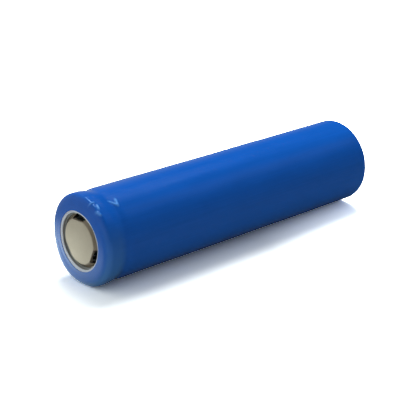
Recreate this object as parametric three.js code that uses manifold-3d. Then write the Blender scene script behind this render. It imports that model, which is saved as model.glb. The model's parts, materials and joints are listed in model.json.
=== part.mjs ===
// A flat-top 17670 lithium cell, built as the pieces it comes apart into on a bench: shrink sleeve,
// washer, steel can, vented header, wound electrodes, tabs and insulators.
//
// Millimetres. The cell's axis is Y. The positive end faces -Y, the negative end faces +Y, +Z is up,
// and the origin is the middle of the axis. Lengths along the axis are given as a depth below the
// positive contact face, so depth 0 is y = -CELL.length / 2.
import * as THREE from "three";
import { mergeVertices } from "three/addons/utils/BufferGeometryUtils.js";
import Module from "manifold-3d";

const wasm = await Module();
wasm.setup();

// ---- driving dimensions ----

const CELL = { length: 67.2, radius: 8.5 };
const FACETS = 32; // sides of a turned part: a multiple of 4, so that one side faces straight down
const ARC_SIDES = 3;
const FIT = 0.02; // clearance between two pieces that touch on the real cell

const SLEEVE = {
  thickness: 0.1,
  rimDepth: 0, // the sleeve's face is flush with the contact disc
  positiveOpening: 5.65,
  negativeOpening: 6.4,
  shoulder: 1.15,
  heel: 0.9,
  sag: 0.24, // how far the film dips into the can's groove
  sagWidth: 1.7,
};
const WASHER = { inner: 5.25, outer: 6.6, thickness: 0.2 };

const CAN = {
  radius: CELL.radius - SLEEVE.thickness - FIT,
  wall: 0.25,
  lipInner: 5.35,
  shoulder: SLEEVE.shoulder - SLEEVE.thickness - FIT,
  heel: SLEEVE.heel - SLEEVE.thickness - FIT,
  grooveDepth: 1.2,
  grooveMiddle: 4.05, // depth of the rolled groove that carries the header
  grooveRadius: 0.5,
  grooveBlend: 0.45,
  contactRadius: 6.1, // the part of the flat bottom that the sleeve leaves bare
};
CAN.bore = CAN.radius - CAN.wall;
CAN.bottomDepth = CELL.length - SLEEVE.thickness - FIT;
CAN.floorDepth = CAN.bottomDepth - CAN.wall;

const HEADER = { radius: 7.66 }; // the discs stacked inside the gasket
const CAP = {
  disc: 4.25, // radius over the rounded rim of the raised contact disc
  rim: 0.3,
  skirtFoot: 4.85,
  sheet: 0.35,
  windowCount: 3,
  windowWidth: 3.2,
  windowFlat: 3.9, // distance from the axis to a window's straight inner edge
  firstWindow: 94, // degrees from +X towards +Z
  windowReach: 5.0, // how far out a window cuts into the flange
};
const GASKET = { wall: 0.4, lip: 0.5, lipInner: 5.02, footInner: 6.4 };
const PTC = { inner: 4.6, thickness: 0.3 };
const SPACER = { inner: 4.95, outer: 6.3, thickness: 0.6, rimInner: 5.8 };
const VENT = {
  thickness: 0.3,
  dish: SPACER.thickness + FIT, // how far the middle is pressed in, to meet the weld plate
  dishTop: 4.85,
  dishFoot: 3.9,
  score: 3.2,
  scoreDepth: 0.15,
};
const WELD_PLATE = {
  radius: 5.75,
  thickness: 0.4,
  web: 0.15, // thickness left in the middle, where the plate tears off
  webRadius: 1.0,
  holes: 6,
  holeRadius: 0.6,
  holeCircle: 4.0,
};

// One turn of the winding: separator, cathode, separator, anode, with a little play after each.
const ROLL = {
  core: 1.9,
  turns: 13,
  sidesPerTurn: 16,
  play: 0.006,
  separator: 0.03,
  cathode: 0.2,
  anode: 0.174,
  top: 5.5,
  bottom: 66.32,
  anodeInset: 0.5, // how far each electrode's edge stays behind the separators' edge
  cathodeInset: 1.0,
};
const INSULATOR = {
  upper: 5.15,
  upperRadius: 7.95,
  upperHole: 1.3,
  gasHole: 0.9,
  gasCircle: 5.9,
  lower: 66.38,
  lowerRadius: 7.7,
  lowerHole: 1.9,
  thickness: 0.27,
};
const TAB = { thickness: 0.1, tape: 0.035, slotPlay: 0.3 };
const TAPE = { inner: 8.0, outer: 8.05, top: 8.6, bottom: 62 };
const PIN = { inner: 1.35, outer: 1.55, slit: 0.6, top: 6.6, bottom: 65, sides: 24 };

// Depths of the header's stack, each worked out from the piece above it.
const DEPTH = {};
DEPTH.washer = SLEEVE.rimDepth + SLEEVE.thickness + FIT;
DEPTH.lip = DEPTH.washer + WASHER.thickness + FIT;
DEPTH.gasket = DEPTH.lip + CAN.wall + FIT;
DEPTH.flange = DEPTH.gasket + GASKET.lip + FIT;
DEPTH.ptc = DEPTH.flange + CAP.sheet + FIT;
DEPTH.vent = DEPTH.ptc + PTC.thickness + FIT;
DEPTH.spacer = DEPTH.vent + VENT.thickness + FIT;
DEPTH.weldPlate = DEPTH.spacer + SPACER.thickness + FIT;
DEPTH.weldPlateBack = DEPTH.weldPlate + WELD_PLATE.thickness;

// ---- helpers ----

const axisY = (depth) => depth - CELL.length / 2;
const radians = (degrees) => THREE.MathUtils.degToRad(degrees);

// An outline in (radius, depth): each entry is a point [r, d], or an arc {centre, radius, from, to}
// with its angles in degrees, where 0 points outwards and 90 towards the negative end.
function outline(entries) {
  const points = entries.flatMap((entry) => {
    if (Array.isArray(entry)) return [new THREE.Vector2(...entry)];
    const { centre, radius, from, to } = entry;
    return Array.from({ length: ARC_SIDES + 1 }, (_, i) => {
      const angle = radians(THREE.MathUtils.lerp(from, to, i / ARC_SIDES));
      return new THREE.Vector2(radius * Math.cos(angle), radius * Math.sin(angle)).add(
        new THREE.Vector2(...centre),
      );
    });
  });
  return points.filter((point, i) => i === 0 || point.distanceTo(points[i - 1]) > 1e-6);
}

// Turns an outline about the axis. It runs anticlockwise in (radius, depth), so that faces point out.
function turned(points) {
  const profile = points.map((p) => new THREE.Vector2(p.x, axisY(p.y)));
  return new THREE.LatheGeometry(profile, FACETS, Math.PI / FACETS);
}

// A ring turned from an outline that closes on itself.
function ring(entries) {
  const points = outline(entries);
  return turned([...points, points[0]]);
}

// A ring of rectangular section.
function flatRing(inner, outer, top, thickness) {
  const bottom = top + thickness;
  return ring([
    [inner, top],
    [outer, top],
    [outer, bottom],
    [inner, bottom],
  ]);
}

// The same open outline moved to its left by a distance, with mitred corners.
function offsetLeft(points, distance) {
  const legs = points.slice(1).map((point, i) => point.clone().sub(points[i]).normalize());
  return points.map((point, i) => {
    const before = legs[Math.max(i - 1, 0)];
    const after = legs[Math.min(i, legs.length - 1)];
    const mitre = new THREE.Vector2(-before.y - after.y, before.x + after.x);
    return point.clone().addScaledVector(mitre, distance / (1 + before.dot(after)));
  });
}

function toSolid(geometry) {
  const bare = geometry.clone();
  bare.deleteAttribute("normal");
  bare.deleteAttribute("uv");
  const merged = mergeVertices(bare, 1e-4);
  const index = merged.index.array;
  const triangles = [];
  for (let i = 0; i < index.length; i += 3) {
    const [a, b, c] = index.slice(i, i + 3);
    const collapsed = a === b || b === c || c === a; // as where a turned outline meets the axis
    if (!collapsed) triangles.push(a, b, c);
  }
  return new wasm.Manifold(
    new wasm.Mesh({
      numProp: 3,
      vertProperties: merged.attributes.position.array,
      triVerts: new Uint32Array(triangles),
    }),
  );
}

function toGeometry(solid) {
  const mesh = solid.getMesh();
  return new THREE.BufferGeometry()
    .setAttribute("position", new THREE.BufferAttribute(mesh.vertProperties, 3))
    .setIndex(new THREE.BufferAttribute(mesh.triVerts, 1));
}

function cut(geometry, tools) {
  return toGeometry(tools.reduce((rest, tool) => rest.subtract(toSolid(tool)), toSolid(geometry)));
}

function join(...geometries) {
  return toGeometry(geometries.map(toSolid).reduce((a, b) => a.add(b)));
}

// A block between two depths, `reach` = [from, to] along a direction away from the axis.
function radialBlock(degrees, reach, width, depths) {
  const [near, far] = reach;
  const [top, bottom] = depths;
  return new THREE.BoxGeometry(far - near, bottom - top, width)
    .translate((near + far) / 2, axisY((top + bottom) / 2), 0)
    .rotateY(-radians(degrees));
}

// A round hole's cutter, on a circle about the axis.
function drill(degrees, circle, radius, depths) {
  const [top, bottom] = depths;
  return new THREE.CylinderGeometry(radius, radius, bottom - top, 16)
    .translate(circle, axisY((top + bottom) / 2), 0)
    .rotateY(-radians(degrees));
}

const evenly = (count, first = 0) => Array.from({ length: count }, (_, i) => first + (i * 360) / count);

// ---- case ----

function shrinkSleeve() {
  const s = SLEEVE;
  const sagRadius = (s.sagWidth ** 2 / 4 + s.sag ** 2) / (2 * s.sag);
  const sagAngle = THREE.MathUtils.radToDeg(Math.asin(s.sagWidth / 2 / sagRadius));
  const outer = outline([
    [s.positiveOpening, s.rimDepth],
    {
      centre: [CELL.radius - s.shoulder, s.rimDepth + s.shoulder],
      radius: s.shoulder,
      from: -90,
      to: 0,
    },
    {
      centre: [CELL.radius - s.sag + sagRadius, CAN.grooveMiddle],
      radius: sagRadius,
      from: 180 + sagAngle,
      to: 180 - sagAngle,
    },
    { centre: [CELL.radius - s.heel, CELL.length - s.heel], radius: s.heel, from: 0, to: 90 },
    [s.negativeOpening, CELL.length],
  ]);
  const inner = offsetLeft(outer, s.thickness).reverse();
  return turned([...outer, ...inner, outer[0]]);
}

function steelCan() {
  const c = CAN;
  const blendCentre = c.radius - c.grooveBlend;
  const grooveCentre = c.radius - c.grooveDepth + c.grooveRadius;
  const grooveHalf = c.grooveRadius + c.grooveBlend;
  const outer = outline([
    [c.lipInner, DEPTH.lip],
    { centre: [c.radius - c.shoulder, DEPTH.lip + c.shoulder], radius: c.shoulder, from: -90, to: 0 },
    { centre: [blendCentre, c.grooveMiddle - grooveHalf], radius: c.grooveBlend, from: 0, to: 90 },
    { centre: [grooveCentre, c.grooveMiddle], radius: c.grooveRadius, from: -90, to: -270 },
    { centre: [blendCentre, c.grooveMiddle + grooveHalf], radius: c.grooveBlend, from: -90, to: 0 },
    { centre: [c.radius - c.heel, c.bottomDepth - c.heel], radius: c.heel, from: 0, to: 90 },
    [c.contactRadius, c.bottomDepth],
    [0, c.bottomDepth],
  ]);
  const inner = offsetLeft(outer, c.wall).reverse();
  return turned([...inner, ...outer]);
}

const insulatingWasher = () => flatRing(WASHER.inner, WASHER.outer, DEPTH.washer, WASHER.thickness);

// ---- header ----

// A channel open towards the axis: its upper lip lies under the can's lip, its foot on the groove.
function crimpGasket() {
  const outer = CAN.bore - FIT;
  const corner = CAN.shoulder - CAN.wall - FIT;
  const foot = CAN.grooveMiddle - CAN.grooveRadius - CAN.wall - FIT;
  const chamfer = 0.14;
  return ring([
    [GASKET.lipInner, DEPTH.gasket],
    { centre: [outer - corner, DEPTH.gasket + corner], radius: corner, from: -90, to: 0 },
    [outer, foot - chamfer],
    [outer - chamfer, foot],
    [GASKET.footInner, foot],
    [GASKET.footInner, DEPTH.spacer],
    [outer - GASKET.wall, DEPTH.spacer],
    [outer - GASKET.wall, DEPTH.gasket + GASKET.lip],
    [GASKET.lipInner, DEPTH.gasket + GASKET.lip],
  ]);
}

// The raised contact disc and its flange, pressed from one sheet, with vent windows in the skirt.
function positiveCap() {
  const { disc, rim, skirtFoot, sheet } = CAP;
  const hat = turned(
    outline([
      [0, 0],
      { centre: [disc - rim, rim], radius: rim, from: -90, to: 0 },
      [skirtFoot, DEPTH.flange],
      [HEADER.radius, DEPTH.flange],
      [HEADER.radius, DEPTH.flange + sheet],
      [skirtFoot - sheet, DEPTH.flange + sheet],
      [disc - sheet, sheet],
      [0, sheet],
    ]),
  );
  const through = [-1, DEPTH.flange + sheet + 1];
  const windows = evenly(CAP.windowCount, CAP.firstWindow).map((degrees) =>
    radialBlock(degrees, [CAP.windowFlat, CAP.windowReach], CAP.windowWidth, through),
  );
  return cut(hat, windows);
}

const ptcRing = () => flatRing(PTC.inner, HEADER.radius, DEPTH.ptc, PTC.thickness);

// The pressure disc: its middle is dished inwards, and a scored circle opens if the cell overheats.
function ventDisc() {
  const top = DEPTH.vent;
  const middle = top + VENT.dish;
  const scoreHalf = VENT.scoreDepth;
  return turned(
    outline([
      [0, middle],
      [VENT.score - scoreHalf, middle],
      [VENT.score, middle + VENT.scoreDepth],
      [VENT.score + scoreHalf, middle],
      [VENT.dishFoot, middle],
      [VENT.dishTop, top],
      [HEADER.radius, top],
      [HEADER.radius, top + VENT.thickness],
      [VENT.dishTop - FIT, top + VENT.thickness],
      [VENT.dishFoot - FIT, middle + VENT.thickness],
      [0, middle + VENT.thickness],
    ]),
  );
}

// Keeps the pressure disc and the weld plate apart everywhere but in the middle.
function ventSpacer() {
  const top = DEPTH.spacer;
  return ring([
    [SPACER.inner, top],
    [SPACER.outer, top],
    [SPACER.outer, DEPTH.weldPlateBack],
    [SPACER.rimInner, DEPTH.weldPlateBack],
    [SPACER.rimInner, top + SPACER.thickness],
    [SPACER.inner, top + SPACER.thickness],
  ]);
}

function weldPlate() {
  const { radius, thickness, web, webRadius, holes, holeRadius, holeCircle } = WELD_PLATE;
  const top = DEPTH.weldPlate;
  const plate = turned(
    outline([
      [0, top],
      [radius, top],
      [radius, top + thickness],
      [webRadius, top + thickness],
      [webRadius, top + web],
      [0, top + web],
    ]),
  );
  const through = [top - 1, top + thickness + 1];
  return cut(
    plate,
    evenly(holes).map((degrees) => drill(degrees, holeCircle, holeRadius, through)),
  );
}

// ---- winding ----

const TURN_PITCH = 2 * ROLL.separator + ROLL.cathode + ROLL.anode + 4 * ROLL.play;
const LAYER = {}; // how far each layer's inner face lies from the start of its turn
LAYER.separatorInner = ROLL.play;
LAYER.cathode = LAYER.separatorInner + ROLL.separator + ROLL.play;
LAYER.separatorOuter = LAYER.cathode + ROLL.cathode + ROLL.play;
LAYER.anode = LAYER.separatorOuter + ROLL.separator + ROLL.play;

const woundRadius = (side, layer) => ROLL.core + (TURN_PITCH * side) / ROLL.sidesPerTurn + layer;
const sideDegrees = (side) => (side * 360) / ROLL.sidesPerTurn;
const turnsToSides = (turns) => Math.round(turns * ROLL.sidesPerTurn);

// A band that follows the winding from one side of its many-sided spiral to another.
function woundStrip({ from, to, layer, thickness, top, bottom }) {
  const along = (offset) =>
    Array.from({ length: to - from + 1 }, (_, i) => {
      const radius = woundRadius(from + i, layer + offset);
      const angle = radians(sideDegrees(from + i));
      return new THREE.Vector2(radius * Math.cos(angle), radius * Math.sin(angle));
    });
  const shape = new THREE.Shape([...along(thickness), ...along(0).reverse()]);
  return new THREE.ExtrudeGeometry(shape, { depth: bottom - top, bevelEnabled: false })
    .rotateX(Math.PI / 2)
    .translate(0, axisY(bottom), 0);
}

function electrode(layer, thickness, firstTurn, lastTurn, inset) {
  return woundStrip({
    from: turnsToSides(firstTurn),
    to: turnsToSides(lastTurn),
    layer,
    thickness,
    top: ROLL.top + inset,
    bottom: ROLL.bottom - inset,
  });
}

// The inner separator's last turn covers the anode; the anode reaches past the cathode at both ends.
const separatorInner = () => electrode(LAYER.separatorInner, ROLL.separator, 0, ROLL.turns, 0);
const separatorOuter = () => electrode(LAYER.separatorOuter, ROLL.separator, 0, 12, 0);
const cathodeStrip = () => electrode(LAYER.cathode, ROLL.cathode, 0.5, 11.5, ROLL.cathodeInset);
const anodeStrip = () => electrode(LAYER.anode, ROLL.anode, 0.25, 11.75, ROLL.anodeInset);

const closingTape = () =>
  flatRing(TAPE.inner, TAPE.outer, TAPE.top, TAPE.bottom - TAPE.top);

// A rolled tube with a slit along its whole length, which keeps the middle of the winding open.
function centrePin() {
  const halfSlit = Math.asin(PIN.slit / 2 / PIN.outer);
  const shape = new THREE.Shape();
  shape.absarc(0, 0, PIN.outer, halfSlit, 2 * Math.PI - halfSlit, false);
  shape.absarc(0, 0, PIN.inner, 2 * Math.PI - halfSlit, halfSlit, true);
  return new THREE.ExtrudeGeometry(shape, {
    depth: PIN.bottom - PIN.top,
    bevelEnabled: false,
    curveSegments: PIN.sides / 2,
  })
    .rotateX(Math.PI / 2)
    .translate(0, axisY(PIN.bottom), 0);
}

// ---- tabs ----

// Each tab has a leg that stands in the winding, beside its electrode's edge, and a strip that leads
// from there to the part it is welded to. `middle` is the leg's direction from the axis.
const POSITIVE_LEG = { from: 108, to: 110, layer: LAYER.cathode + 0.01, width: 4 };
const NEGATIVE_LEG = { from: 152, to: 153, layer: LAYER.anode + 0.01, width: 2.7 };
for (const leg of [POSITIVE_LEG, NEGATIVE_LEG]) {
  leg.middle = sideDegrees((leg.from + leg.to) / 2);
  leg.radius = woundRadius(leg.to, leg.layer + TAB.thickness);
  leg.innermost = woundRadius(leg.from, leg.layer) * Math.cos(radians(sideDegrees(leg.to - leg.from) / 2));
}
POSITIVE_LEG.end = ROLL.top + ROLL.cathodeInset - FIT;
NEGATIVE_LEG.end = ROLL.bottom - ROLL.anodeInset + FIT;

const tabLeg = (leg, top, bottom) =>
  woundStrip({ ...leg, thickness: TAB.thickness, top, bottom });

// A strip of the tab's width, bent along a centre line in (distance from the axis, depth).
function bentStrip(leg, centreLine) {
  const half = TAB.thickness / 2;
  const outer = offsetLeft(centreLine, -half);
  const inner = offsetLeft(centreLine, half).reverse();
  const shape = new THREE.Shape([...outer, ...inner]);
  return new THREE.ExtrudeGeometry(shape, { depth: leg.width, bevelEnabled: false })
    .translate(0, axisY(0), -leg.width / 2)
    .rotateY(-radians(leg.middle));
}

// Up through the upper insulator, across the axis, folded back and welded under the weld plate.
function positiveTab() {
  const weld = { near: 2.2, far: -2.6, depth: DEPTH.weldPlateBack + FIT + TAB.thickness / 2 };
  const fold = 0.5;
  const shelf = weld.depth + 2 * fold;
  const strip = bentStrip(
    POSITIVE_LEG,
    outline([
      [weld.near, weld.depth],
      { centre: [weld.far, weld.depth + fold], radius: fold, from: -90, to: -270 },
      [POSITIVE_LEG.radius, shelf],
    ]),
  );
  return join(strip, tabLeg(POSITIVE_LEG, shelf, POSITIVE_LEG.end));
}

// Down past the lower insulator and across the can's floor, where it is welded on the axis.
function negativeTab() {
  const foot = CAN.floorDepth - FIT - TAB.thickness / 2;
  const strip = bentStrip(
    NEGATIVE_LEG,
    outline([
      [-3, foot],
      [NEGATIVE_LEG.radius, foot],
    ]),
  );
  return join(strip, tabLeg(NEGATIVE_LEG, NEGATIVE_LEG.end, foot));
}

// A patch of tape on the outer face of a tab's leg.
function tabTape(leg, top, bottom) {
  return woundStrip({
    ...leg,
    layer: leg.layer + TAB.thickness + ROLL.play,
    thickness: TAB.tape,
    top,
    bottom,
  });
}

// ---- insulators ----

function tabSlot(leg, depths) {
  const reach = [leg.innermost - TAB.slotPlay, leg.radius + TAB.tape + TAB.slotPlay];
  return radialBlock(leg.middle, reach, leg.width + 4 * TAB.slotPlay, depths);
}

function upperInsulator() {
  const top = INSULATOR.upper;
  const through = [top - 1, top + INSULATOR.thickness + 1];
  const holes = evenly(4, POSITIVE_LEG.middle + 45).map((degrees) =>
    drill(degrees, INSULATOR.gasCircle, INSULATOR.gasHole, through),
  );
  const disc = flatRing(INSULATOR.upperHole, INSULATOR.upperRadius, top, INSULATOR.thickness);
  return cut(disc, [
    tabSlot(POSITIVE_LEG, through),
    ...holes,
  ]);
}

function lowerInsulator() {
  const top = INSULATOR.lower;
  const through = [top - 1, top + INSULATOR.thickness + 1];
  const disc = flatRing(INSULATOR.lowerHole, INSULATOR.lowerRadius, top, INSULATOR.thickness);
  return cut(disc, [tabSlot(NEGATIVE_LEG, through)]);
}

// ---- assembly ----

const finish = (color, roughness, metalness) => ({ color, roughness, metalness });
const FINISH = {
  blueFilm: finish(0x0f49b0, 0.35, 0),
  whiteFibre: finish(0xe4e4dc, 0.85, 0),
  nickelSteel: finish(0xb9b7b0, 0.35, 1),
  capSteel: finish(0xaca48f, 0.45, 1),
  greyPlastic: finish(0x5d605c, 0.6, 0),
  polymerCarbon: finish(0x2d2b2a, 0.7, 0),
  clearPlastic: finish(0xd9dde0, 0.5, 0),
  aluminium: finish(0xc4c6c9, 0.35, 1),
  cathodeCoat: finish(0x17171a, 0.9, 0),
  anodeCoat: finish(0x2f3236, 0.8, 0),
  separatorFilm: finish(0xf2f2f0, 0.6, 0),
  amberTape: finish(0xb9772a, 0.4, 0),
  greenTape: finish(0x2f8f5b, 0.45, 0),
};

const cell = new THREE.Group();

function add(name, geometry, { color, roughness, metalness }) {
  const material = new THREE.MeshStandardMaterial({ color, roughness, metalness });
  const mesh = new THREE.Mesh(geometry, material);
  mesh.name = name;
  cell.add(mesh);
}

add("shrink_sleeve", shrinkSleeve(), FINISH.blueFilm);
add("insulating_washer", insulatingWasher(), FINISH.whiteFibre);
add("steel_can", steelCan(), FINISH.nickelSteel);

add("crimp_gasket", crimpGasket(), FINISH.greyPlastic);
add("positive_cap", positiveCap(), FINISH.capSteel);
add("ptc_ring", ptcRing(), FINISH.polymerCarbon);
add("vent_disc", ventDisc(), FINISH.aluminium);
add("vent_spacer", ventSpacer(), FINISH.clearPlastic);
add("weld_plate", weldPlate(), FINISH.aluminium);

add("separator_inner", separatorInner(), FINISH.separatorFilm);
add("cathode_strip", cathodeStrip(), FINISH.cathodeCoat);
add("separator_outer", separatorOuter(), FINISH.separatorFilm);
add("anode_strip", anodeStrip(), FINISH.anodeCoat);
add("closing_tape", closingTape(), FINISH.greenTape);
add("centre_pin", centrePin(), FINISH.nickelSteel);

add("positive_tab", positiveTab(), FINISH.aluminium);
add("positive_tab_tape", tabTape(POSITIVE_LEG, ROLL.top - 0.3, POSITIVE_LEG.end), FINISH.amberTape);
add("negative_tab", negativeTab(), FINISH.nickelSteel);
add("negative_tab_tape", tabTape(NEGATIVE_LEG, NEGATIVE_LEG.end, ROLL.bottom + 0.3), FINISH.amberTape);
add("upper_insulator", upperInsulator(), FINISH.clearPlastic);
add("lower_insulator", lowerInsulator(), FINISH.clearPlastic);

export default cell;
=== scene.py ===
"""The looks of a flat-top lithium cell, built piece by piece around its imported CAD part.

Radii and depths are in millimetres, as on a drawing. A depth is measured along the cell's axis from
the positive contact face, so depth d lies at y = FIRST_Y + d. Angles in the plane across the axis are
in degrees, from +X towards +Z.
"""
import json
import math

import bmesh
import bpy
import numpy as np
from mathutils import Matrix, Vector


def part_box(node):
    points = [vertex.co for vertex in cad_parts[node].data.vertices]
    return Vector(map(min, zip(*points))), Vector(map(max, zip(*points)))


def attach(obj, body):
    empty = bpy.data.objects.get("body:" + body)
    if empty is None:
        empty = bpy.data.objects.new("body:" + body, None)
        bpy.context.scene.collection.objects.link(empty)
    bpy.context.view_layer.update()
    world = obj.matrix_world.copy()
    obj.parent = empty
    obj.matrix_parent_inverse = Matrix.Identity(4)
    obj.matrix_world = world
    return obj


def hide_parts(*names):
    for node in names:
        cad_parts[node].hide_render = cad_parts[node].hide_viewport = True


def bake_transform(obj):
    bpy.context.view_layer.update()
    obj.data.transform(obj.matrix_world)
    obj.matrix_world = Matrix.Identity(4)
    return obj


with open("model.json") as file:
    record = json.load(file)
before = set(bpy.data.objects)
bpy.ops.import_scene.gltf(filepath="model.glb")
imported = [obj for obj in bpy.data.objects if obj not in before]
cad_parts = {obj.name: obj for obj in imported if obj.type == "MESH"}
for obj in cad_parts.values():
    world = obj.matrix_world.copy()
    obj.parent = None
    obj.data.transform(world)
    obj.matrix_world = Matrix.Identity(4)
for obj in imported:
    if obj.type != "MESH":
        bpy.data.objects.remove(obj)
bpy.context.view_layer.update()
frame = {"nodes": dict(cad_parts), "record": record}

MM = 0.001
FACETS = 32  # sides of a turned CAD part, whose flats are what its box measures
SHARP = 35  # angle between two faces, in degrees, above which their edge is shaded hard


# ---- places taken from the frame ----


def turned_radius(node):
    """Radius of a turned CAD node over its corners, in mm."""
    low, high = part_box(node)
    return (high.x - low.x) / 2 / math.cos(math.pi / FACETS) / MM


FIRST_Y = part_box("positive_cap")[0].y / MM


def depth_range(node):
    """Depths of a CAD node's two ends, in mm."""
    low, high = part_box(node)
    return low.y / MM - FIRST_Y, high.y / MM - FIRST_Y


SLEEVE_TOP, SLEEVE_END = depth_range("shrink_sleeve")
SLEEVE_RADIUS = turned_radius("shrink_sleeve")
CAN_TOP, CAN_END = depth_range("steel_can")
CAN_RADIUS = turned_radius("steel_can")
WASHER_TOP, WASHER_BACK = depth_range("insulating_washer")
GASKET_TOP, GASKET_BACK = depth_range("crimp_gasket")
CAP_TOP, CAP_BACK = depth_range("positive_cap")
PTC_TOP, PTC_BACK = depth_range("ptc_ring")
VENT_TOP, VENT_BACK = depth_range("vent_disc")
SPACER_TOP, SPACER_BACK = depth_range("vent_spacer")
PLATE_TOP, PLATE_BACK = depth_range("weld_plate")
HEADER_RADIUS = turned_radius("positive_cap")


# ---- mesh helpers ----


def make_object(name, vertices, faces):
    """A new mesh object from vertices in mm, with its faces turned outwards."""
    mesh = bpy.data.meshes.new(name)
    mesh.from_pydata([tuple(c * MM for c in v) for v in vertices], [], faces)
    work = bmesh.new()
    work.from_mesh(mesh)
    bmesh.ops.remove_doubles(work, verts=work.verts, dist=1e-7)
    bmesh.ops.recalc_face_normals(work, faces=work.faces)
    work.to_mesh(mesh)
    work.free()
    piece = bpy.data.objects.new(name, mesh)
    bpy.context.scene.collection.objects.link(piece)
    return piece


def smooth_shading(piece):
    """Smooth faces, with a hard edge wherever two of them meet at more than the sharp angle."""
    work = bmesh.new()
    work.from_mesh(piece.data)
    for face in work.faces:
        face.smooth = True
    for edge in work.edges:
        if len(edge.link_faces) == 2:
            edge.smooth = edge.calc_face_angle() < math.radians(SHARP)
    work.to_mesh(piece.data)
    work.free()


def place(radius, depth, degrees):
    """A point at a radius, depth and direction round the axis."""
    angle = math.radians(degrees)
    return radius * math.cos(angle), FIRST_Y + depth, radius * math.sin(angle)


def rounded(corners, steps):
    """Points of an outline in (radius, depth), whose corners (radius, depth, fillet) are rounded."""
    points = []
    for i, corner in enumerate(corners):
        here = np.array(corner[:2], float)
        fillet = corner[2] if len(corner) > 2 else 0
        if not fillet:
            points.append(tuple(here))
            continue
        before = np.array(corners[i - 1][:2], float) - here
        after = np.array(corners[(i + 1) % len(corners)][:2], float) - here
        before /= np.linalg.norm(before)
        after /= np.linalg.norm(after)
        half = math.acos(np.clip(before @ after, -1, 1)) / 2
        middle = (before + after) / np.linalg.norm(before + after)
        centre = here + middle * fillet / math.sin(half)
        start = here + before * fillet / math.tan(half) - centre
        end = here + after * fillet / math.tan(half) - centre
        sweep = math.pi - 2 * half
        for k in range(steps + 1):
            t = k / steps
            mix = (math.sin((1 - t) * sweep) * start + math.sin(t * sweep) * end) / math.sin(sweep)
            points.append(tuple(centre + mix))
    return points


def even_angles(count):
    """Directions that divide the circle evenly."""
    return [360 * i / count for i in range(count)]


def lathe(name, outline, angles=None, warp=None):
    """Turns an outline about the axis. One that starts and ends on the axis closes there, and any
    other one closes on itself. warp(radius, depth, degrees) may move each point."""
    angles = angles or even_angles(192)
    on_axis = outline[0][0] == 0
    vertices = []
    rows = []
    for radius, depth in outline:
        if radius == 0:
            vertices.append(place(0, depth, 0))
            rows.append([len(vertices) - 1] * len(angles))
            continue
        rows.append(list(range(len(vertices), len(vertices) + len(angles))))
        for degrees in angles:
            r, d = warp(radius, depth, degrees) if warp else (radius, depth)
            vertices.append(place(r, d, degrees))
    faces = []
    count = len(rows) - 1 if on_axis else len(rows)
    for i in range(count):
        one, two = rows[i], rows[(i + 1) % len(rows)]
        for j in range(len(angles)):
            k = (j + 1) % len(angles)
            corners = [one[j], one[k], two[k], two[j]]
            faces.append(list(dict.fromkeys(corners)))
    piece = make_object(name, vertices, faces)
    smooth_shading(piece)
    return piece


def bar(name, degrees, reach, width, depths, fillet):
    """A block that points away from the axis, with its two near edges along the axis rounded."""
    near, far = reach
    corners = [
        (near, -width / 2, fillet),
        (far, -width / 2),
        (far, width / 2),
        (near, width / 2, fillet),
    ]
    flat = rounded(corners, 6)
    angle = math.radians(degrees)
    vertices = []
    for depth in depths:
        for u, v in flat:
            x = u * math.cos(angle) - v * math.sin(angle)
            z = u * math.sin(angle) + v * math.cos(angle)
            vertices.append((x, FIRST_Y + depth, z))
    n = len(flat)
    faces = [list(range(n)), list(range(n, 2 * n))]
    faces += [[i, (i + 1) % n, n + (i + 1) % n, n + i] for i in range(n)]
    return make_object(name, vertices, faces)


def rod(name, degrees, circle, radius, depths):
    """A round bar along the axis, centred on a circle round it."""
    sides = 48
    centre_x, _, centre_z = place(circle, 0, degrees)
    vertices = []
    for depth in depths:
        for angle in even_angles(sides):
            x, y, z = place(radius, depth, angle)
            vertices.append((centre_x + x, y, centre_z + z))
    faces = [list(range(sides)), list(range(sides, 2 * sides))]
    faces += [[i, (i + 1) % sides, sides + (i + 1) % sides, sides + i] for i in range(sides)]
    return make_object(name, vertices, faces)


def carve(piece, cutters):
    """Cuts the cutters out of the piece and removes them."""
    for cutter in cutters:
        cut = piece.modifiers.new("cut", "BOOLEAN")
        cut.object = cutter
        cut.solver = "EXACT"
    graph = bpy.context.evaluated_depsgraph_get()
    mesh = bpy.data.meshes.new_from_object(piece.evaluated_get(graph))
    piece.modifiers.clear()
    piece.data = mesh
    for cutter in cutters:
        bpy.data.objects.remove(cutter)
    smooth_shading(piece)


# ---- material helpers ----


def node(tree, kind, inputs=None, **settings):
    """Adds a shader node. An input is a plain value or another node's output."""
    made = tree.nodes.new(kind)
    for key, value in settings.items():
        setattr(made, key, value)
    for key, value in (inputs or {}).items():
        if isinstance(value, bpy.types.NodeSocket):
            tree.links.new(value, made.inputs[key])
        else:
            made.inputs[key].default_value = value
    return made


def maths(tree, operation, first, second=0.0):
    """The result of an operation on one or two values or outputs."""
    return node(tree, "ShaderNodeMath", {0: first, 1: second}, operation=operation).outputs[0]


def towards(tree, direction, aim):
    """How far a direction points towards the aim: 1 straight at it."""
    made = node(tree, "ShaderNodeVectorMath", {0: direction, 1: aim}, operation="DOT_PRODUCT")
    return made.outputs["Value"]


def weighted(tree, first, share, second, other_share):
    """The sum of two values, each times its share."""
    one = maths(tree, "MULTIPLY", first, share)
    two = maths(tree, "MULTIPLY", second, other_share)
    return maths(tree, "ADD", one, two)


def noise(tree, vector, scale, detail=3.0, roughness=0.5):
    """A noise value. The scale is in waves per mm."""
    made = node(
        tree,
        "ShaderNodeTexNoise",
        {"Vector": vector, "Scale": scale, "Detail": detail, "Roughness": roughness},
    )
    return made.outputs["Fac"]


def spread(tree, value, low, high, from_low=0.3, from_high=0.7):
    """Maps a value onto the range from low to high. Noise keeps to the middle, hence the default."""
    made = node(
        tree,
        "ShaderNodeMapRange",
        {"Value": value, "From Min": from_low, "From Max": from_high, "To Min": low, "To Max": high},
    )
    return made.outputs["Result"]


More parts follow.
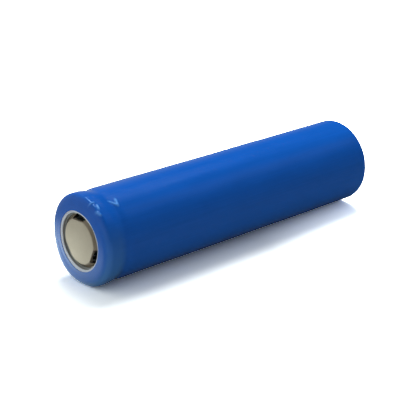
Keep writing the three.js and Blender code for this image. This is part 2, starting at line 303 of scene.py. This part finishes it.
def blend_colours(tree, factor, first, second):
    """Mixes two colours, each a plain one or another node's output."""
    made = node(tree, "ShaderNodeMix", {"Factor": factor}, data_type="RGBA")
    for key, value in ((6, first), (7, second)):
        if isinstance(value, bpy.types.NodeSocket):
            tree.links.new(value, made.inputs[key])
        else:
            made.inputs[key].default_value = (*value, 1)
    return made.outputs[2]


def new_material(name):
    """A material, its node tree, its Principled node and the place of the shaded point in mm."""
    material = bpy.data.materials.new(name)
    material.use_nodes = True
    tree = material.node_tree
    surface = tree.nodes["Principled BSDF"]
    position = node(tree, "ShaderNodeNewGeometry").outputs["Position"]
    coordinates = node(
        tree, "ShaderNodeVectorMath", {0: position, "Scale": 1 / MM}, operation="SCALE"
    ).outputs["Vector"]
    return material, tree, surface, coordinates


def stretched(tree, coordinates, x, y, z):
    """Coordinates scaled by axis: a small scale along an axis draws a pattern out along it."""
    return node(tree, "ShaderNodeMapping", {"Vector": coordinates, "Scale": (x, y, z)}).outputs[0]


def bump(tree, height, strength, distance, below=None):
    """A normal bent by the height, with the distance in mm, on top of the normal below it."""
    inputs = {"Height": height, "Strength": strength, "Distance": distance * MM}
    if below is not None:
        inputs["Normal"] = below
    return node(tree, "ShaderNodeBump", inputs).outputs["Normal"]


def set_inputs(tree, surface, **values):
    """Sets inputs of the Principled node, named with _ for each space."""
    for key, value in values.items():
        socket = surface.inputs[key.replace("_", " ")]
        if isinstance(value, bpy.types.NodeSocket):
            tree.links.new(value, socket)
        else:
            socket.default_value = value


def plain_finish(name, dark, light, rough, grain=9.0, depth=0.004, **more):
    """A moulded or coated surface: broad colour mottling and fine grain in all directions."""
    material, tree, surface, at = new_material(name)
    mottle = noise(tree, at, 0.6, 4)
    fine = noise(tree, at, grain, 4, 0.6)
    mix = weighted(tree, mottle, 0.6, fine, 0.4)
    set_inputs(
        tree,
        surface,
        Base_Color=blend_colours(tree, spread(tree, mix, 0, 1), dark, light),
        Roughness=spread(tree, mix, *rough),
        Normal=bump(tree, fine, 0.6, depth),
        **more,
    )
    return material


def rolled_finish(name, dark, light, rough, along, metallic=1.0):
    """Sheet, drawn metal or film: fine lines along the axis with the small scale, and broad mottling."""
    material, tree, surface, at = new_material(name)
    lines = noise(tree, stretched(tree, at, *along), 1.0, 5, 0.65)
    mottle = noise(tree, at, 0.5, 3)
    mix = weighted(tree, lines, 0.65, mottle, 0.35)
    set_inputs(
        tree,
        surface,
        Base_Color=blend_colours(tree, spread(tree, mix, 0, 1), dark, light),
        Roughness=spread(tree, mix, rough[1], rough[0]),
        Metallic=metallic,
        Normal=bump(tree, lines, 0.5, 0.003),
    )
    return material


# ---- materials ----


def sleeve_film():
    """Blue shrink film: faint streaks along the cell, a painted sheen low on the cell and towards its
    front end, and a painted highlight on its folds.
    """
    material, tree, surface, at = new_material("sleeve_film")
    streaks = noise(tree, stretched(tree, at, 3.2, 0.05, 3.2), 1.0, 5, 0.6)
    clouds = noise(tree, stretched(tree, at, 0.3, 0.12, 0.3), 1.0, 2)
    grain = noise(tree, at, 14, 3, 0.6)
    mix = weighted(tree, streaks, 0.55, clouds, 0.45)
    colour = blend_colours(
        tree, spread(tree, mix, 0, 1), (0.0030, 0.112, 0.55), (0.0040, 0.130, 0.64)
    )
    # Painted sheen: a paler, greyer blue stands in for the reflection of the bright floor, most between
    # the film's front corner and the groove, and low on the cell.
    parts = node(tree, "ShaderNodeSeparateXYZ", {0: at})
    behind = spread(tree, parts.outputs["Y"], 1, 0.25, FIRST_Y + 3.0, FIRST_Y + 4.4)
    before = spread(tree, parts.outputs["Y"], 0.25, 1, FIRST_Y + 0.06, FIRST_Y + 0.3)
    below = spread(tree, parts.outputs["Z"], 1, 0, -6.5, 5.5)
    sheen = maths(tree, "MULTIPLY", maths(tree, "MINIMUM", before, behind), below)
    # Painted sheen colour: the paler, greyer blue mixed in by the mask above.
    colour = blend_colours(tree, sheen, colour, (0.074, 0.256, 0.60))
    # The attribute holds how high a fold stands; the paler blue on the folds is a painted highlight.
    fold_highlight = node(tree, "ShaderNodeAttribute", attribute_name="fold").outputs["Fac"]
    colour = blend_colours(tree, fold_highlight, colour, (0.10, 0.36, 0.95))
    long_ripple = bump(tree, streaks, 0.35, 0.012)
    set_inputs(
        tree,
        surface,
        Base_Color=colour,
        Roughness=spread(tree, streaks, 0.17, 0.25),
        IOR=1.5,
        Normal=bump(tree, grain, 0.25, 0.002, long_ripple),
    )
    return material


def washer_fibre():
    """Pale pressed fibre with a faint blue cast."""
    return plain_finish("washer_fibre", (0.66, 0.71, 0.76), (0.74, 0.79, 0.84), (0.28, 0.40))


def cap_steel():
    """Nickel-plated sheet, slightly warm: turning marks round the axis, spots and fine scratches.
    Painted shade: the cut edges, the inside and other faces turned away from both the front and the
    outside are coloured near black, while the front and the outer side keep the plating's colour."""
    material, tree, surface, at = new_material("cap_steel")
    parts = node(tree, "ShaderNodeSeparateXYZ", {0: at})
    x_squared = maths(tree, "MULTIPLY", parts.outputs["X"], parts.outputs["X"])
    z_squared = maths(tree, "MULTIPLY", parts.outputs["Z"], parts.outputs["Z"])
    radius = maths(tree, "SQRT", maths(tree, "ADD", x_squared, z_squared))
    rings = node(tree, "ShaderNodeCombineXYZ", {0: maths(tree, "MULTIPLY", radius, 9.0), 1: 0.0})
    marks = noise(tree, rings.outputs[0], 1.0, 4, 0.6)
    clouds = noise(tree, at, 0.7, 4)
    grain = noise(tree, at, 16, 4, 0.7)
    scratch = noise(tree, stretched(tree, at, 14, 1, 0.7), 1.0, 3)
    mix = weighted(tree, clouds, 0.5, grain, 0.5)
    height = maths(tree, "ADD", maths(tree, "MULTIPLY", marks, 0.3), grain)
    facing = node(tree, "ShaderNodeNewGeometry").outputs["Normal"]
    away = node(tree, "ShaderNodeCombineXYZ", {0: parts.outputs["X"], 2: parts.outputs["Z"]}).outputs[0]
    away = node(tree, "ShaderNodeVectorMath", {0: away}, operation="NORMALIZE").outputs[0]
    # Painted shade: a face turned neither to the front nor away from the axis gets a near-black colour
    # instead of the plating's.
    turned_out = maths(tree, "MAXIMUM", towards(tree, facing, away), towards(tree, facing, (0, -1, 0)))
    plating = blend_colours(tree, spread(tree, mix, 0, 1), (0.50, 0.41, 0.29), (0.60, 0.50, 0.375))
    # The mask below is 0 where the painted shade is full and 1 where the plating's colour shows.
    painted_shade_mask = spread(tree, turned_out, 0, 1, 0.2, 0.6)
    worn = maths(tree, "ADD", mix, maths(tree, "MULTIPLY", scratch, 0.2))
    set_inputs(
        tree,
        surface,
        Base_Color=blend_colours(tree, painted_shade_mask, (0.05, 0.045, 0.04), plating),
        Metallic=0.6,
        Roughness=spread(tree, worn, 0.42, 0.58),
        Normal=bump(tree, height, 0.4, 0.005),
    )
    return material


def can_steel():
    """Drawn nickel-plated steel, dulled by handling."""
    return rolled_finish(
        "can_steel",
        (0.46, 0.45, 0.43),
        (0.62, 0.61, 0.58),
        (0.26, 0.40),
        metallic=0.6,
        along=(9, 0.35, 9),
    )


MATERIALS = {
    "sleeve_film": sleeve_film(),
    "washer_fibre": washer_fibre(),
    "can_steel": can_steel(),
    "cap_steel": cap_steel(),
    "gasket_plastic": plain_finish(
        "gasket_plastic", (0.30, 0.32, 0.31), (0.38, 0.40, 0.39), (0.45, 0.6), grain=7
    ),
    "ptc_polymer": plain_finish(
        "ptc_polymer", (0.018, 0.017, 0.017), (0.035, 0.033, 0.032), (0.5, 0.7), grain=8
    ),
    "aluminium_sheet": rolled_finish(
        "aluminium_sheet", (0.62, 0.63, 0.64), (0.78, 0.79, 0.80), (0.25, 0.42), along=(10, 10, 0.4)
    ),
    "clear_plastic": plain_finish(
        "clear_plastic",
        (0.66, 0.69, 0.70),
        (0.80, 0.82, 0.83),
        (0.3, 0.45),
        Transmission_Weight=0.35,
    ),
    "separator_film": rolled_finish(
        "separator_film",
        (0.80, 0.80, 0.78),
        (0.90, 0.90, 0.88),
        (0.45, 0.6),
        metallic=0.0,
        along=(0.5, 8, 0.5),
    ),
    "cathode_coat": plain_finish(
        "cathode_coat", (0.010, 0.010, 0.012), (0.028, 0.028, 0.032), (0.6, 0.8), grain=20, depth=0.01
    ),
    "anode_coat": plain_finish(
        "anode_coat", (0.030, 0.032, 0.036), (0.060, 0.064, 0.070), (0.5, 0.7), grain=20, depth=0.01
    ),
    "amber_tape": plain_finish(
        "amber_tape", (0.42, 0.17, 0.020), (0.55, 0.25, 0.035), (0.2, 0.35), grain=5
    ),
    "green_tape": rolled_finish(
        "green_tape",
        (0.020, 0.23, 0.10),
        (0.035, 0.32, 0.15),
        (0.25, 0.4),
        metallic=0.0,
        along=(4, 0.2, 4),
    ),
    "tab_nickel": rolled_finish(
        "tab_nickel", (0.55, 0.54, 0.51), (0.68, 0.67, 0.63), (0.2, 0.35), along=(10, 10, 0.5)
    ),
}
# The material slot that the record gives each CAD node.
SLOT_OF = {row["node"]: row["material_slot"] for row in frame["record"]["subparts"]}


def finish_piece(piece, body, *nodes):
    """Gives a piece its material and body, in place of the CAD nodes it stands for."""
    slot = SLOT_OF[nodes[0]]
    piece.data.materials.clear()
    piece.data.materials.append(MATERIALS[slot])
    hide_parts(*nodes)
    if body:
        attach(piece, body)
    return piece


# ---- sleeve ----

FILM = 0.1  # thickness of the shrink film
OPENING = 5.72  # radius of the film's edge round the positive end
BACK_OPENING = 6.4  # radius of its edge round the negative end
SHOULDER = 1.15  # depth over which the film's front corner is rounded
SHOULDER_WIDTH = 1.8  # how far in from the film's side that corner starts
SQUARENESS = 0.8  # below 1, that corner tightens towards its middle
CORNER = SLEEVE_RADIUS - SHOULDER_WIDTH  # radius where that corner starts
HEEL = 0.9  # radius of the film's back corner

NEAR = 2  # the film's ends reach this far along it
LEAN = 0.045  # slope of the film's face, which falls back a little towards the shoulder
OFF_CENTRE = 0.19  # how far the opening is off centre
OFF_CENTRE_SIDE = 200  # the direction that it is off centre in
OVAL = 0.09  # how far the opening is out of round
SIDE = 7.8  # the film's side is what lies outside this radius
SLACK = 0.02  # how much lower the side lies behind the groove
FOLDED = 6.5  # folds lie outside this radius
SAG = 0.20  # the film dips this far into the can's groove
SAG_DEPTH = 4.3
SAG_HALF = 0.85
PROUD = 0.13  # the film stands out this far over the can's shoulder
PROUD_DEPTH = 1.7
PROUD_HALF = 1.25
BULGE = 0.28  # the front corner stands out this far on one side
BULGE_SIDE = 233
BULGE_SPREAD = 32
CORNER_GAIN = 1.7  # brings the product of the corner's two slopes to about 1 in its middle

# Small folds the film took as it shrank over the shoulder: two ends (depth, degrees), height, width.
CREASES = [
    ((0.4, 70.0), (1.3, 68.5), 0.12, 0.17),
    ((1.45, 64.0), (1.1, 56.0), 0.10, 0.17),
    ((0.5, 56.0), (0.85, 48.5), 0.12, 0.18),
    ((5.16, 55.0), (4.15, 66.0), 0.14, 0.19),
    ((5.16, 55.0), (5.57, 66.0), 0.14, 0.19),
]
CREASE_SIDE = (40, 80)  # the directions that all the folds lie between
HIGHLIGHT_FULL = 0.12  # height at which a fold's painted highlight is full


def ease(value, start, length):
    """0 at the start and 1 a length further on, straight in between."""
    return max(0, min(1, (value - start) / length))


def ripple(angle, *waves):
    """Waves round the axis, each with a height, a count and a phase."""
    return sum(tall * math.sin(count * angle + phase) for tall, count, phase in waves)


def sag(depth):
    """How far the film dips into the can's groove."""
    return SAG * math.exp(-(((depth - SAG_DEPTH) / SAG_HALF) ** 2))


def proud(depth):
    """How far the film stands out over the can's shoulder."""
    return PROUD * math.exp(-(((depth - PROUD_DEPTH) / PROUD_HALF) ** 4))


def crease_height(depth, degrees):
    """How far the folds lift the film at a place on its side."""
    height = 0
    for (d1, a1), (d2, a2), tall, wide in CREASES:
        u, v = depth - d1, math.radians(degrees - a1) * SLEEVE_RADIUS
        du, dv = d2 - d1, math.radians(a2 - a1) * SLEEVE_RADIUS
        along = max(0, min(1, (u * du + v * dv) / (du * du + dv * dv)))
        gap = math.hypot(u - along * du, v - along * dv)
        taper = min(1, 4 * along * (1 - along) + 0.35)
        height += tall * taper * math.exp(-((gap / wide) ** 2))
    return height


def film_warp(radius, depth, degrees):
    """The film's uneven fit: an opening off centre, slack ripples, folds and one fuller side."""
    angle = math.radians(degrees)
    # both openings are uneven at their edge, and less so out towards the corner
    if depth < NEAR:
        shift = OFF_CENTRE * math.cos(angle - math.radians(OFF_CENTRE_SIDE)) + OVAL * math.sin(2 * angle)
        wave = ripple(angle, (0.035, 3, 1.0), (0.02, 7, 0.4))
        radius += ease(radius, 7.3, -1.6) * (shift + wave)
    if depth > SLEEVE_END - NEAR:
        radius += ease(radius, 7.6, -1.2) * ripple(angle, (0.06, 2, 2), (0.03, 5, 0))
    # behind the groove, the side is a little slack and lies a little lower
    if depth > NEAR and radius > SIDE:
        slack = ripple(angle, (0.012, 5, 0.25 * depth), (0.008, 9, -0.4 * depth))
        radius += (slack - SLACK) * ease(depth, 4.5, 4)
    if radius > FOLDED:
        radius += crease_height(depth, degrees)
    if depth < NEAR:
        depth += LEAN * (radius - OPENING) * (1 - depth / NEAR)
    if depth < SHOULDER and radius > CORNER:
        corner = CORNER_GAIN * (radius - CORNER) / SHOULDER_WIDTH * (1 - depth / SHOULDER)
        bulge = BULGE * corner * math.exp(-(((degrees % 360 - BULGE_SIDE) / BULGE_SPREAD) ** 2))
        radius += bulge
        depth -= bulge
    return radius, depth


def film_outside():
    """The film's outer side in (radius, depth), from the front opening to the back one."""
    rim = SLEEVE_TOP
    side = SLEEVE_RADIUS
    points = [(OPENING + (CORNER - OPENING) * t / 5, rim) for t in range(5)]
    for k in range(29):
        angle = math.radians(90 * k / 28)
        out = math.sin(angle) ** SQUARENESS
        down = 1 - math.cos(angle) ** SQUARENESS
        corner = rim + SHOULDER * down
        points.append((CORNER + SHOULDER_WIDTH * out + proud(corner) * out, corner))
    heel = SLEEVE_END - HEEL
    # rows of points stand closer together over the groove and the folds than along the plain side
    step, groove_end, plain_start = 0.09, 6.2, 6.6
    groove_rows = np.arange(rim + SHOULDER + 0.08, groove_end, step)
    plain_rows = np.linspace(plain_start, heel, 46)
    points += [(side - sag(d) + proud(d), d) for d in groove_rows]
    points += [(side, d) for d in plain_rows]
    inner = side - HEEL
    for k in range(1, 13):
        angle = math.radians(90 * k / 12)
        points.append((inner + HEEL * math.cos(angle), heel + HEEL * math.sin(angle)))
    points += [(BACK_OPENING + (inner - BACK_OPENING) * (1 - t / 4), SLEEVE_END) for t in range(1, 5)]
    return [(float(r), float(d)) for r, d in points]


def film_inside(outside):
    """The outer side moved in by the film's thickness."""
    points = []
    for i, (r, d) in enumerate(outside):
        before = outside[max(0, i - 1)]
        after = outside[min(len(outside) - 1, i + 1)]
        run = np.array(after) - np.array(before)
        run /= np.linalg.norm(run)
        points.append((r - FILM * run[1], d + FILM * run[0]))
    return points


def sleeve():
    """The film, with its points closer together where the folds are."""
    first, last = CREASE_SIDE
    fine = [first + 0.5 * k for k in range(2 * (last - first) + 1)]
    coarse = [a for a in even_angles(320) if not first <= a <= last]
    outside = film_outside()
    outline = outside + film_inside(outside)[::-1]
    piece = lathe("sleeve_film", outline, sorted(fine + coarse), film_warp)
    fold_highlight = piece.data.attributes.new("fold", "FLOAT", "POINT")
    for i, vertex in enumerate(piece.data.vertices):
        x, y, z = vertex.co / MM
        height = crease_height(y - FIRST_Y, math.degrees(math.atan2(z, x)))
        # The fold height share, which sets the painted highlight on the folds.
        fold_highlight.data[i].value = min(1, height / HIGHLIGHT_FULL)
    return piece


finish_piece(sleeve(), "cell", "shrink_sleeve")


# ---- can, washer and header ----

WASHER_INNER, WASHER_OUTER = 5.25, 6.6
CAN_WALL = 0.25
LIP_INNER = 5.35  # radius of the can's lip, rolled in over the gasket
GROOVE = 4.05  # depth of the rolled groove's middle
GROOVE_DEPTH = 1.2
SHEET = 0.35  # thickness of the cap's sheet
FLANGE = CAP_BACK - SHEET
DISC = 4.22  # radius of the contact disc
SKIRT = 4.85  # radius that the skirt below it slopes out to
WINDOWS = (94, 214, 334)  # directions of the cap's three vent windows
WINDOW_REACH = (3.9, 5.0)  # radii that a window lies between
WINDOW_WIDTH = 3.2
VENT_SHEET = 0.3  # thickness of the pressure disc's sheet
DISH = VENT_BACK - VENT_SHEET  # depth of the dished middle's upper face
CLEARANCE = 0.02  # gap between neighbouring pieces


def ring_corners(inner, outer, top, back, fillet):
    """The section of a flat ring."""
    return [(inner, top, fillet), (outer, top, fillet), (outer, back, fillet), (inner, back, fillet)]


def washer():
    """The pale ring, cut a little unevenly at its inner edge."""

    def warp(radius, depth, degrees):
        if radius < WASHER_OUTER - 0.6:
            radius += ripple(math.radians(degrees), (0.02, 4, 0), (0.015, 9, 1))
        return radius, depth

    corners = ring_corners(WASHER_INNER, WASHER_OUTER, WASHER_TOP, WASHER_BACK, 0.05)
    return lathe("washer_ring", rounded(corners, 3), warp=warp)


def groove_corners(side, bottom, mouth, bed, fillet):
    """The groove on one side of the can's wall, with half its width at its mouth and at its bed."""
    return [
        (side, GROOVE - mouth, 0.5),
        (bottom, GROOVE - bed, fillet),
        (bottom, GROOVE + bed, fillet),
        (side, GROOVE + mouth, 0.5),
    ]


def can():
    """The can in one piece: lip, rolled groove, side and bottom."""
    inside = CAN_RADIUS - CAN_WALL
    bottom = CAN_RADIUS - GROOVE_DEPTH
    outer = [
        (LIP_INNER, CAN_TOP, 0.04),
        (CAN_RADIUS, CAN_TOP, 1.03),
        *groove_corners(CAN_RADIUS, bottom, 1.15, 0.52, 0.45),
        (CAN_RADIUS, CAN_END, 0.78),
        (0, CAN_END),
    ]
    inner = [
        (0, CAN_END - CAN_WALL),
        (inside, CAN_END - CAN_WALL, 0.53),
        *reversed(groove_corners(inside, bottom - CAN_WALL, 1.38, 0.72, 0.3)),
        (inside, CAN_TOP + CAN_WALL, 0.78),
        (LIP_INNER, CAN_TOP + CAN_WALL, 0.04),
    ]
    return lathe("can_shell", rounded(inner + outer, 8))


def gasket():
    """The plastic channel round the header: a lip in front, a wall, and a foot behind."""
    outer = CAN_RADIUS - CAN_WALL - CLEARANCE
    inner, foot = 5.02, 6.4
    wall, lip = 0.4, 0.5
    corners = [
        (inner, GASKET_TOP, 0.06),
        (outer, GASKET_TOP, 0.76),
        (outer, GASKET_BACK, 0.12),
        (foot, GASKET_BACK, 0.06),
        (foot, SPACER_TOP, 0.05),
        (outer - wall, SPACER_TOP, 0.05),
        (outer - wall, GASKET_TOP + lip, 0.05),
        (inner, GASKET_TOP + lip, 0.06),
    ]
    return lathe("seal_gasket", rounded(corners, 6))


def cap():
    """The raised contact disc, its skirt and its flange, with the windows cut through them."""
    corners = [
        (0, CAP_TOP),
        (DISC, CAP_TOP, 0.28),
        (SKIRT, FLANGE, 0.15),
        (HEADER_RADIUS, FLANGE, 0.05),
        (HEADER_RADIUS, CAP_BACK, 0.05),
        (SKIRT - SHEET, CAP_BACK, 0.35),
        (DISC - SHEET, CAP_TOP + SHEET, 0.1),
        (0, CAP_TOP + SHEET),
    ]
    piece = lathe("contact_cap", rounded(corners, 8), even_angles(256))
    through = (CAP_TOP - 1, CAP_BACK + 1)
    carve(piece, [bar("cutter", a, WINDOW_REACH, WINDOW_WIDTH, through, 0.12) for a in WINDOWS])
    return piece


def ptc():
    """The flat current-limiting ring under the cap."""
    inner = 4.6
    corners = ring_corners(inner, HEADER_RADIUS, PTC_TOP, PTC_BACK, 0.04)
    return lathe("ptc_washer", rounded(corners, 3))


def pressure_disc():
    """The dished disc, with a V-section score ring that opens if the cell overheats."""
    score, half = 3.2, 0.15
    flat, foot = 3.9, 4.85  # the disc slopes up from its flat middle to its rim between these radii
    inset = 0.02  # of the underside's corners, which keeps the sloping sheet's thickness
    corners = [
        (0, DISH),
        (score - half, DISH),
        (score, DISH + half),
        (score + half, DISH),
        (flat, DISH, 0.3),
        (foot, VENT_TOP, 0.3),
        (HEADER_RADIUS, VENT_TOP, 0.04),
        (HEADER_RADIUS, VENT_TOP + VENT_SHEET, 0.04),
        (foot - inset, VENT_TOP + VENT_SHEET, 0.3),
        (flat - inset, VENT_BACK, 0.3),
        (0, VENT_BACK),
    ]
    return lathe("pressure_disc_sheet", rounded(corners, 5))


def spacer():
    """The plastic ring that holds the weld plate off the pressure disc, stepped round its rim."""
    inner, seat, outer = 4.95, 5.8, 6.3
    corners = [
        (inner, SPACER_TOP, 0.04),
        (outer, SPACER_TOP, 0.04),
        (outer, SPACER_BACK, 0.04),
        (seat, SPACER_BACK, 0.04),
        (seat, PLATE_TOP - CLEARANCE, 0.04),
        (inner, PLATE_TOP - CLEARANCE, 0.04),
    ]
    return lathe("vent_insulator", rounded(corners, 3))


def plate():
    """The perforated weld plate, thinned in its middle where the positive tab is welded."""
    outer, dimple = 5.75, 1.0
    thin = PLATE_TOP + 0.15
    corners = [
        (0, PLATE_TOP),
        (outer, PLATE_TOP, 0.06),
        (outer, PLATE_BACK, 0.06),
        (dimple, PLATE_BACK, 0.04),
        (dimple, thin, 0.04),
        (0, thin),
    ]
    piece = lathe("collector_plate", rounded(corners, 3))
    circle, hole = 4.0, 0.6
    through = (PLATE_TOP - 1, PLATE_BACK + 1)
    carve(piece, [rod("cutter", a, circle, hole, through) for a in even_angles(6)])
    return piece


finish_piece(washer(), "cell", "insulating_washer")
finish_piece(can(), "cell", "steel_can")
finish_piece(gasket(), "cell", "crimp_gasket")
finish_piece(cap(), "cell", "positive_cap")
finish_piece(ptc(), "cell", "ptc_ring")
finish_piece(spacer(), "cell", "vent_spacer")
finish_piece(plate(), "cell", "weld_plate")

disc = finish_piece(pressure_disc(), None, "vent_disc")
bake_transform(disc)

# ---- everything that stays as the CAD has it ----

for name, cad_node in frame["nodes"].items():
    if not cad_node.hide_render:
        cad_node.data.materials.clear()
        cad_node.data.materials.append(MATERIALS[SLOT_OF[name]])


# ---- floor, light and camera ----


def by_ray(tree, seen, soft, mirrored):
    """Shows the camera, soft light and mirror reflections a shader each."""
    path = node(tree, "ShaderNodeLightPath")
    glossy, straight = path.outputs["Is Glossy Ray"], path.outputs["Is Camera Ray"]
    other = node(tree, "ShaderNodeMixShader", {0: glossy, 1: soft.outputs[0], 2: mirrored.outputs[0]})
    whole = node(tree, "ShaderNodeMixShader", {0: straight, 1: other.outputs[0], 2: seen.outputs[0]})
    return whole.outputs[0]


def floor():
    """White paper. The camera sees a white sheet with painted shade and light: darker by the cell's front
    end, paler towards its far end and paler with distance. Soft light sees a greyer sheet. Mirror
    reflections see it glow in front of the cell and to its left, with one brighter patch there."""
    half = 900
    z = -SLEEVE_RADIUS - 0.03  # just clear of the film
    corners = [(-half, -half, z), (half, -half, z), (half, half, z), (-half, half, z)]
    piece = make_object("floor", corners, [[0, 1, 2, 3]])
    material, tree, surface, at = new_material("floor_paper")

    # what the camera sees: above 1, so that only shadows show
    paper = spread(tree, noise(tree, at, 0.05, 3), 0.97, 1.0)
    # The slight cyan tint shows only in the shadows, as painted bounce light.
    tint = node(tree, "ShaderNodeCombineXYZ", {0: 2.25, 1: 2.36, 2: 2.34}).outputs[0]
    parts = node(tree, "ShaderNodeSeparateXYZ", {0: at})
    # Painted shade and light: the colour grows from darker by the cell's front end to paler past its far
    # end, and paler with distance.
    painted_shade_ramp = spread(tree, parts.outputs["Y"], 0.93, 1.90, 4, 34)
    distance = node(tree, "ShaderNodeVectorMath", {0: at}, operation="LENGTH").outputs["Value"]
    lift = spread(tree, distance, 1, 6, 150, 900)
    shade = maths(tree, "MULTIPLY", maths(tree, "MULTIPLY", paper, painted_shade_ramp), lift)
    tone = node(tree, "ShaderNodeVectorMath", {0: tint, "Scale": shade}, operation="SCALE")
    seen = node(tree, "ShaderNodeBsdfDiffuse", {"Color": tone.outputs[0]})

    # what soft light and mirror reflections see
    bounce = node(tree, "ShaderNodeBsdfDiffuse", {"Color": (0.48, 0.48, 0.49, 1)})
    # Painted reflection: for mirror reflections the floor glows, in front of the cell, to its left and in
    # one oval patch.
    front = spread(tree, parts.outputs["Y"], 0.22, 0.0, FIRST_Y - 3, FIRST_Y + 6)
    left = spread(tree, parts.outputs["X"], 0.40, 0.03, -30, -8)
    oval = {"Location": (-16.5, -39, 0), "Rotation": (0, 0, math.radians(14)), "Scale": (21, 12, 1e6)}
    patch_at = node(tree, "ShaderNodeMapping", {"Vector": at, **oval}, vector_type="TEXTURE").outputs[0]
    patch = node(tree, "ShaderNodeTexGradient", {"Vector": patch_at}, gradient_type="SPHERICAL")
    shine = maths(tree, "MULTIPLY", patch.outputs["Fac"], 3.6)
    glow = maths(tree, "ADD", maths(tree, "MAXIMUM", front, left), shine)
    mirrored = node(tree, "ShaderNodeEmission", {"Color": (0.80, 0.96, 1, 1), "Strength": glow})
    whole = by_ray(tree, seen, bounce, mirrored)
    tree.links.new(whole, tree.nodes["Material Output"].inputs["Surface"])
    piece.data.materials.append(material)


def studio_world():
    """A soft dome: an even fill light, a dim room in reflections, and plain white behind the cell."""
    world = bpy.data.worlds.new("studio")
    bpy.context.scene.world = world
    world.use_nodes = True
    tree = world.node_tree
    tree.nodes.clear()
    direction = node(tree, "ShaderNodeTexCoord").outputs["Generated"]
    even = spread(tree, towards(tree, direction, (-0.4, -0.91, 0.1)), 0.24, 0.80, -0.1, 1.0)
    fill = node(tree, "ShaderNodeBackground", {"Color": (0.97, 0.985, 1, 1), "Strength": even})

    # reflections: a room that is brighter in front, a haze on the left and a faint window behind
    parts = node(tree, "ShaderNodeSeparateXYZ", {0: direction})
    room = spread(tree, towards(tree, direction, (-0.5, -0.86, 0)), 0.03, 0.45, 0.2, 0.9)
    sheen = spread(tree, parts.outputs["X"], 0.26, 0.03, -0.80, -0.62)
    pane = spread(tree, towards(tree, direction, (0.35, 0.618, 0.70)), 0.0, 0.20, 0.965, 0.995)
    glow = maths(tree, "ADD", maths(tree, "MAXIMUM", room, sheen), pane)
    mirrored = node(tree, "ShaderNodeBackground", {"Color": (0.85, 0.97, 1, 1), "Strength": glow})
    seen = node(tree, "ShaderNodeBackground", {"Color": (1, 1, 1, 1), "Strength": 1.1})
    node(tree, "ShaderNodeOutputWorld", {"Surface": by_ray(tree, seen, fill, mirrored)})


def area_light(name, place_mm, size_mm, watts, target_mm=(0, 0, 0)):
    """A rectangular lamp that faces its target."""
    data = bpy.data.lights.new(name, "AREA")
    data.shape = "RECTANGLE"
    data.size = size_mm[0] * MM
    data.size_y = size_mm[1] * MM
    data.energy = watts
    light = bpy.data.objects.new(name, data)
    bpy.context.scene.collection.objects.link(light)
    light.location = Vector(place_mm) * MM
    aim = Vector(target_mm) * MM - light.location
    light.rotation_euler = aim.to_track_quat("-Z", "Y").to_euler()
    return light


# The camera's direction and distance from the cell, and its lens on a 36 mm sensor, in mm.
AZIMUTH = math.radians(48.519)
ELEVATION = math.radians(21.165)
DISTANCE = 230.0
LENS = 106.5
AIM = (-3.791, -0.685)  # where the camera aims: mm to its right and up from the cell's middle
BACK = Vector(  # points from the cell back to the camera
    (
        math.sin(AZIMUTH) * math.cos(ELEVATION),
        -math.cos(AZIMUTH) * math.cos(ELEVATION),
        math.sin(ELEVATION),
    )
)


def camera():
    """A level camera that looks against BACK."""
    right = Vector((math.cos(AZIMUTH), math.sin(AZIMUTH), 0))
    up = BACK.cross(right)
    data = bpy.data.cameras.new("camera")
    data.lens = LENS
    data.sensor_width = 36
    data.clip_start = 10 * MM
    eye = bpy.data.objects.new("camera", data)
    bpy.context.scene.collection.objects.link(eye)
    axes = Matrix((right, up, BACK)).transposed().to_4x4()
    axes.translation = (right * AIM[0] + up * AIM[1] + BACK * DISTANCE) * MM
    eye.matrix_world = axes
    bpy.context.scene.camera = eye


def lights():
    """A large soft key light behind the cell on its left, which mirror reflections don't see, and a
    blue tube that only they see, for the narrow highlight over the shoulder."""
    key = area_light("key", (-105, 100, 265), (190, 190), 0.83)
    key.visible_glossy = False
    tube = area_light("tube", (-95, -42, 280), (12, 170), 0.40, (0, -42, 0))
    tube.visible_diffuse = False
    tube.data.color = (0.35, 0.68, 1.0)


floor()
studio_world()
lights()
camera()
bpy.context.scene.view_settings.view_transform = "Standard"
